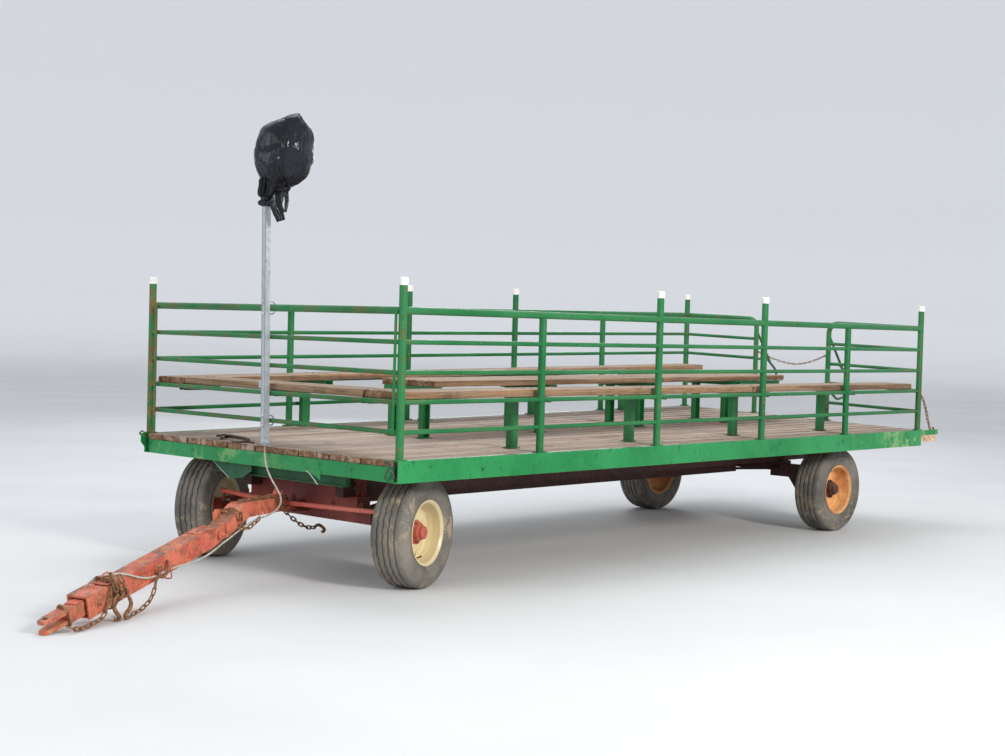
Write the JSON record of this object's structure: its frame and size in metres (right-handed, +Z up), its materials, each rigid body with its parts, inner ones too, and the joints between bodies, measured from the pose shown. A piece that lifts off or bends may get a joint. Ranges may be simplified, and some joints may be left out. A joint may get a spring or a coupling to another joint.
{
  "type": "hay wagon",
  "caption": "Four-wheel hay wagon: plank deck with tube side panels and benches on a steered running gear with a lifting tongue, tie rods, light pole and cable.",
  "frame": {"origin": "on the ground, under the middle of the wagon's overall length and width", "axes": "+X forward along the deck towards the tongue, +Y to the left side, +Z up"},
  "size_m": [8.4634, 2.4956, 2.857],
  "materials": {
    "tyre_rubber": "ribbed tread with dried mud",
    "rim_cream": "worn gloss cream",
    "rim_rust": "rusted paint",
    "hub_red": "worn red",
    "hub_dark": "dark grease and rust",
    "deck_wood": "weathered planks",
    "bench_wood": "weathered boards",
    "block_wood": "bare softwood",
    "rail_green": "faded green with rust streaks",
    "leg_green": "faded green",
    "channel_green": "scuffed green",
    "frame_dark_green": "dark green, dusty",
    "sill_maroon": "dark red brown",
    "gear_maroon": "dark red, dusty",
    "tongue_red": "faded red with rust",
    "cap_white": "white plastic",
    "galvanised": "galvanised",
    "bag_black": "thin glossy film",
    "plug_black": "moulded",
    "cable_grey": "light grey jacket",
    "handrail_dark": "dark green, worn to steel"
  },
  "bodies": {
    "wagon": {"bench_centre": "bench_wood", "bench_front": "bench_wood", "bench_left": "bench_wood", "bench_legs_centre": "leg_green", "bench_legs_front": "leg_green", "bench_legs_left": "leg_green", "bench_legs_right": "leg_green", "bench_right": "bench_wood", "boarding_handrails": "handrail_dark", "braces": "gear_maroon", "cable_drop": "cable_grey", "cross_members": "frame_dark_green", "deck_planks": "deck_wood", "front_axle": "gear_maroon", "front_bolster": "gear_maroon", "front_channel": "channel_green", "gate_frames": "rail_green", "lamp_bag": "bag_black", "pole": "galvanised", "pole_clamps": "galvanised", "pole_grommet": "plug_black", "post_caps": "cap_white", "posts_left": "rail_green", "posts_right": "rail_green", "rails_front": "rail_green", "rails_left": "rail_green", "rails_rear": "rail_green", "rails_right": "rail_green", "reach_pole": "gear_maroon", "rear_axle": "gear_maroon", "rear_channel": "channel_green", "rear_corner_block": "block_wood", "rear_corner_step": "channel_green", "side_channel_left": "channel_green", "side_channel_right": "channel_green", "sills": "sill_maroon"},
    "steering_head": {"steering_head": "tongue_red", "cable_head": "cable_grey"},
    "tongue": {"tongue_beam": "tongue_red", "tongue_collar": "tongue_red", "hitch_bar": "tongue_red", "cable_tongue": "cable_grey", "cable_plug": "plug_black"},
    "knuckle_left": {"knuckle_left": "gear_maroon"},
    "knuckle_right": {"knuckle_right": "gear_maroon"},
    "tie_rod_left": {"tie_rod_left": "tongue_red"},
    "tie_rod_right": {"tie_rod_right": "tongue_red"},
    "wheel_front_left": {"tyre_front_left": "tyre_rubber", "rim_front_left": "rim_cream", "hub_front_left": "hub_red"},
    "wheel_front_right": {"tyre_front_right": "tyre_rubber", "rim_front_right": "rim_cream", "hub_front_right": "hub_red"},
    "wheel_rear_left": {"tyre_rear_left": "tyre_rubber", "rim_rear_left": "rim_rust", "hub_rear_left": "hub_dark"},
    "wheel_rear_right": {"tyre_rear_right": "tyre_rubber", "rim_rear_right": "rim_rust", "hub_rear_right": "hub_dark"}
  },
  "joints": [
    {"name": "steering", "type": "hinge", "parent": "wagon", "child": "steering_head", "pos_m": [1.92951, 0, 0.424], "axis": [0, 0, 1], "range_deg": [-55, 15], "deforming": ["cable_drop"]},
    {"name": "tongue_lift", "type": "hinge", "parent": "steering_head", "child": "tongue", "pos_m": [2.80343, 0.31808, 0.342], "axis": [0.342, -0.9397, 0], "range_deg": [0, 75]},
    {"name": "kingpin_left", "type": "hinge", "parent": "wagon", "child": "knuckle_left", "pos_m": [1.79451, 0.7, 0.338], "axis": [0, 0, 1], "range_deg": [-55, 15]},
    {"name": "tie_rod_pivot_left", "type": "hinge", "parent": "steering_head", "child": "tie_rod_left", "pos_m": [2.0585, 0.08419, 0.457], "axis": [0, 0, 1], "range_deg": [-15, 55]},
    {"name": "wheel_spin_front_left", "type": "hinge", "parent": "knuckle_left", "child": "wheel_front_left", "pos_m": [1.73341, 0.89987, 0.338], "axis": [-0.2924, 0.9563, 0], "continuous": true},
    {"name": "wheel_spin_rear_left", "type": "hinge", "parent": "wagon", "child": "wheel_rear_left", "pos_m": [-2.98149, 0.909, 0.338], "axis": [0, 1, 0], "continuous": true},
    {"name": "kingpin_right", "type": "hinge", "parent": "wagon", "child": "knuckle_right", "pos_m": [1.79451, -0.7, 0.338], "axis": [0, 0, 1], "range_deg": [-55, 15]},
    {"name": "tie_rod_pivot_right", "type": "hinge", "parent": "steering_head", "child": "tie_rod_right", "pos_m": [2.08244, 0.01841, 0.457], "axis": [0, 0, 1], "range_deg": [-15, 55]},
    {"name": "wheel_spin_front_right", "type": "hinge", "parent": "knuckle_right", "child": "wheel_front_right", "pos_m": [1.88119, -0.89018, 0.338], "axis": [-0.4147, 0.91, 0], "continuous": true},
    {"name": "wheel_spin_rear_right", "type": "hinge", "parent": "wagon", "child": "wheel_rear_right", "pos_m": [-2.98149, -0.909, 0.338], "axis": [0, 1, 0], "continuous": true}
  ],
  "couplings": [
    {"joint": "kingpin_left", "follows": "steering", "ratio": 1},
    {"joint": "tie_rod_pivot_left", "follows": "steering", "ratio": -1},
    {"joint": "kingpin_right", "follows": "steering", "ratio": 1},
    {"joint": "tie_rod_pivot_right", "follows": "steering", "ratio": -1}
  ]
}
